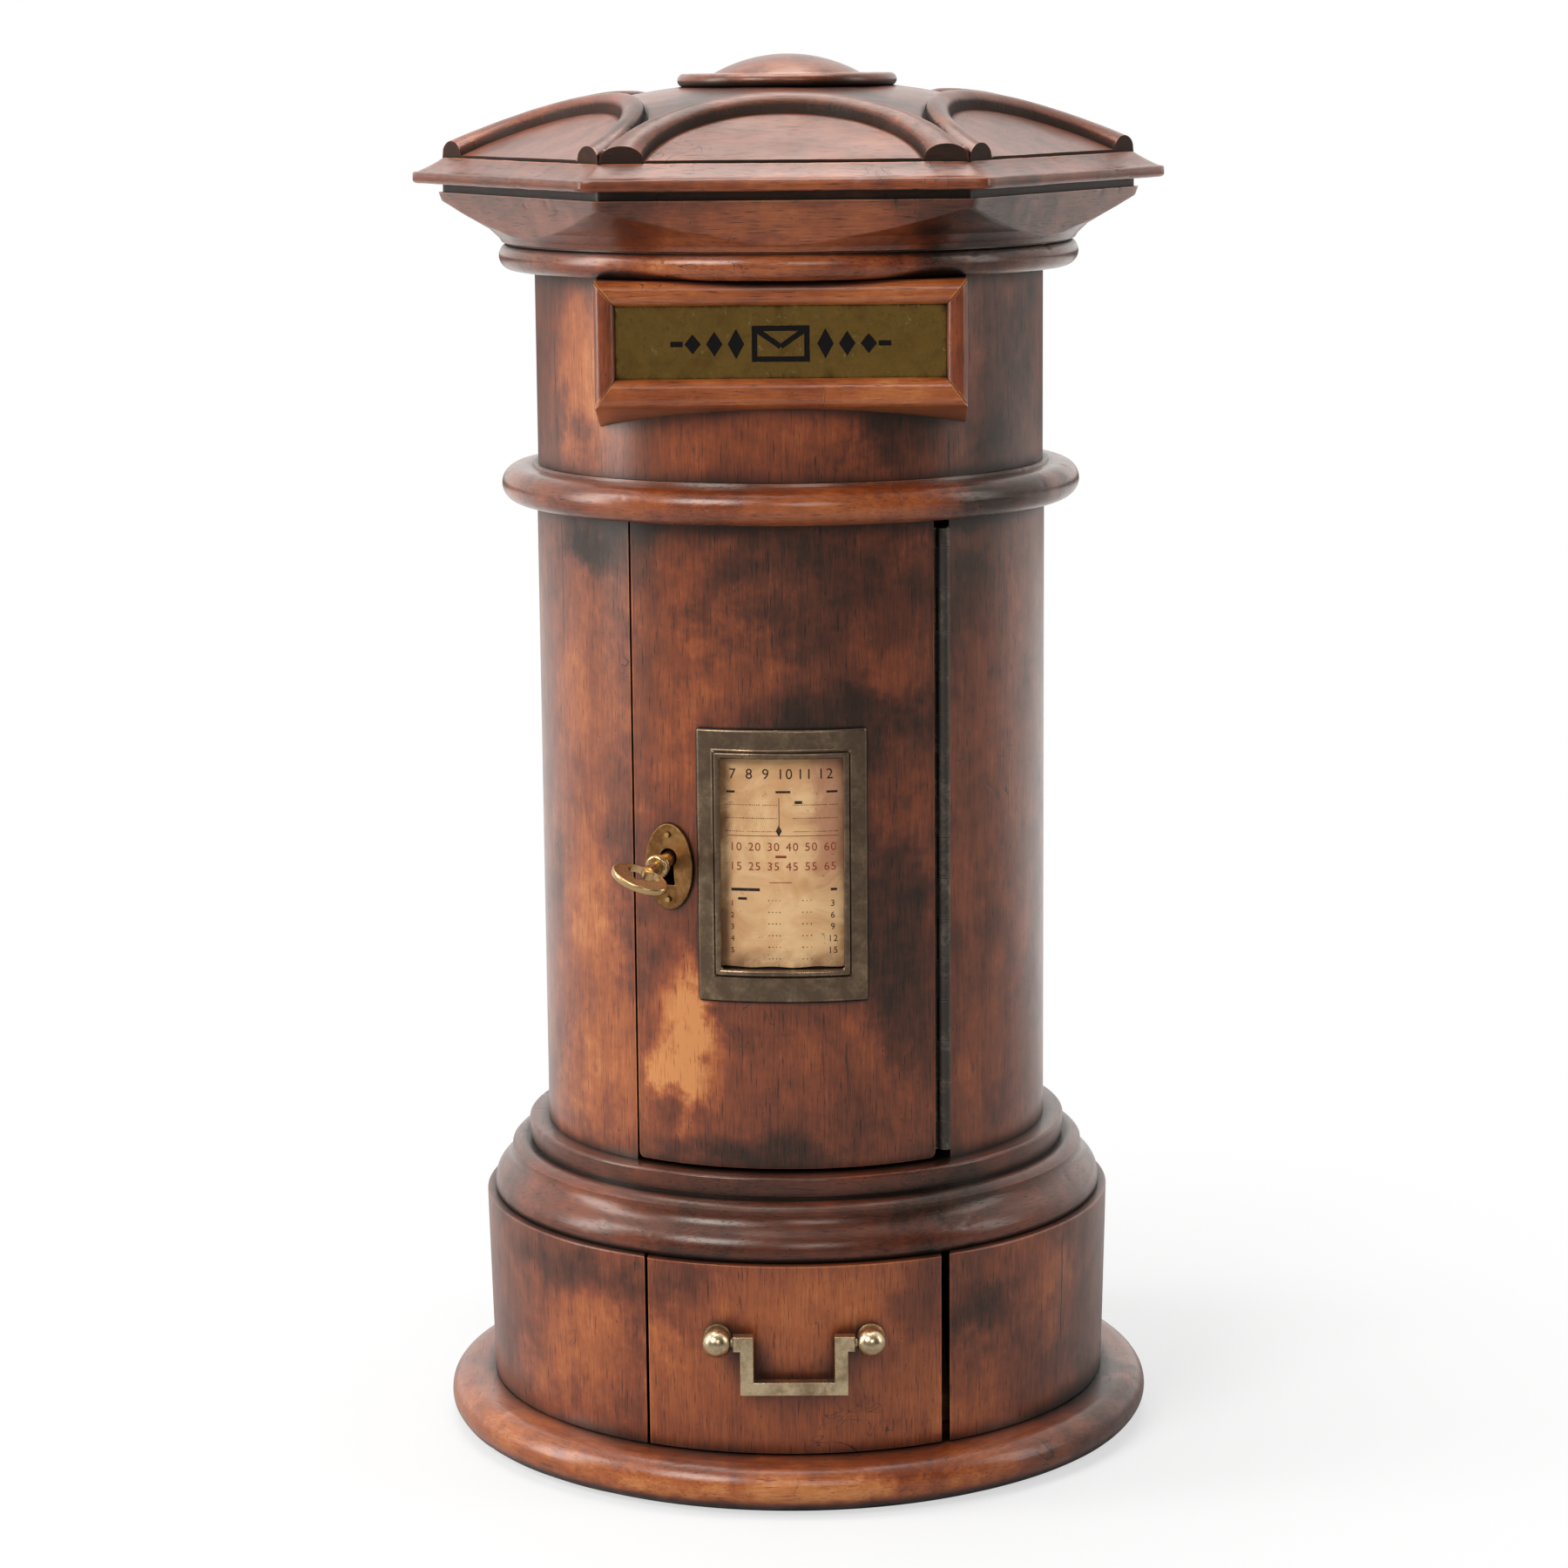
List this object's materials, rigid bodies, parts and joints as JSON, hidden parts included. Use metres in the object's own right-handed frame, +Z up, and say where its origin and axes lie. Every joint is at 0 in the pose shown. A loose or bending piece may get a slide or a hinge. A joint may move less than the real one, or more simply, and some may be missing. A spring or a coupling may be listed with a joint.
{
  "type": "desk letter box",
  "caption": "Round wooden desk letter box with a hexagonal roof, a posting slot with a hinged flap, a locking curved door and a drawer in the plinth.",
  "frame": {"origin": "on the table, on the axis of the turned body, under the felt", "axes": "+Z up; the front with the slot, door and drawer faces -Y; +X is the box's right seen from the front"},
  "size_m": [0.2432, 0.2334, 0.45],
  "materials": {
    "walnut_brown_mahogany": "worn satin wax over red-brown mahogany",
    "drawer_wood": "unpolished secondary wood",
    "felt": "dark felt",
    "frame_brass": "bronzed antique brass with worn edges",
    "plate_brass": "olive brown tarnished brass",
    "key_brass": "handled brass",
    "pull_brass": "dulled grey brass",
    "hinge_bronze": "blackened bronze",
    "lock_steel": "dull steel",
    "card_paper": "aged card"
  },
  "bodies": {
    "case": {"felt_pad": "felt", "base_foot": "walnut_brown_mahogany", "plinth_drum": "walnut_brown_mahogany", "drawer_guides": "drawer_wood", "base_moulding": "walnut_brown_mahogany", "compartment_floor": "walnut_brown_mahogany", "lower_column": "walnut_brown_mahogany", "door_stop": "walnut_brown_mahogany", "strike_plate": "frame_brass", "waist_ring": "walnut_brown_mahogany", "upper_drum": "walnut_brown_mahogany", "neck_bead": "walnut_brown_mahogany", "cornice": "walnut_brown_mahogany", "eave_plate": "walnut_brown_mahogany", "roof": "walnut_brown_mahogany", "boss_disc": "walnut_brown_mahogany", "crown_cap": "walnut_brown_mahogany", "slot_frame_top": "walnut_brown_mahogany", "slot_frame_bottom": "walnut_brown_mahogany", "slot_frame_left": "walnut_brown_mahogany", "slot_frame_right": "walnut_brown_mahogany", "flap_rod": "frame_brass", "hinge_leaf_case": "hinge_bronze", "hinge_pin": "hinge_bronze", "hinge_screws_case": "hinge_bronze"},
    "door": {"door_panel": "walnut_brown_mahogany", "hinge_leaf_door": "hinge_bronze", "hinge_screws_door": "hinge_bronze", "lock_case": "lock_steel", "lock_screws": "lock_steel", "escutcheon": "plate_brass", "escutcheon_pins": "key_brass", "card_frame": "frame_brass", "card_frame_pins": "frame_brass", "card": "card_paper"},
    "key": {"key": "key_brass"},
    "lock_bolt": {"lock_bolt": "lock_steel"},
    "drawer": {"drawer_front": "walnut_brown_mahogany", "drawer_side_left": "drawer_wood", "drawer_side_right": "drawer_wood", "drawer_back": "drawer_wood", "drawer_bottom": "drawer_wood", "handle_posts": "pull_brass", "handle_nuts": "pull_brass"},
    "bail": {"bail": "pull_brass"},
    "letter_flap": {"letter_flap": "plate_brass"}
  },
  "joints": [
    {"name": "door_hinge", "type": "hinge", "parent": "case", "child": "door", "pos_m": [0.04807, -0.06827, 0.205], "axis": [0, 0, 1], "range_deg": [0, 120]},
    {"name": "key_turn", "type": "hinge", "parent": "door", "child": "key", "pos_m": [-0.03843, -0.07447, 0.202], "axis": [0.4516, 0.8751, 0.1736], "range_deg": [0, 168]},
    {"name": "bolt_slide", "type": "slide", "parent": "door", "child": "lock_bolt", "axis": [-0.8886, 0.4586, 0], "range_m": [0, 0.0055]},
    {"name": "drawer_slide", "type": "slide", "parent": "case", "child": "drawer", "axis": [0, -1, 0], "range_m": [0, 0.095]},
    {"name": "bail_swing", "type": "hinge", "parent": "drawer", "child": "bail", "pos_m": [0, -0.10728, 0.0546], "axis": [-1, 0, 0], "range_deg": [0, 95]},
    {"name": "flap_swing", "type": "hinge", "parent": "case", "child": "letter_flap", "pos_m": [-0.0016, -0.07955, 0.3746], "axis": [1, 0, 0], "range_deg": [0, 80]}
  ],
  "couplings": [
    {"joint": "key_turn", "follows": "bolt_slide", "rad_per_m": 514}
  ]
}
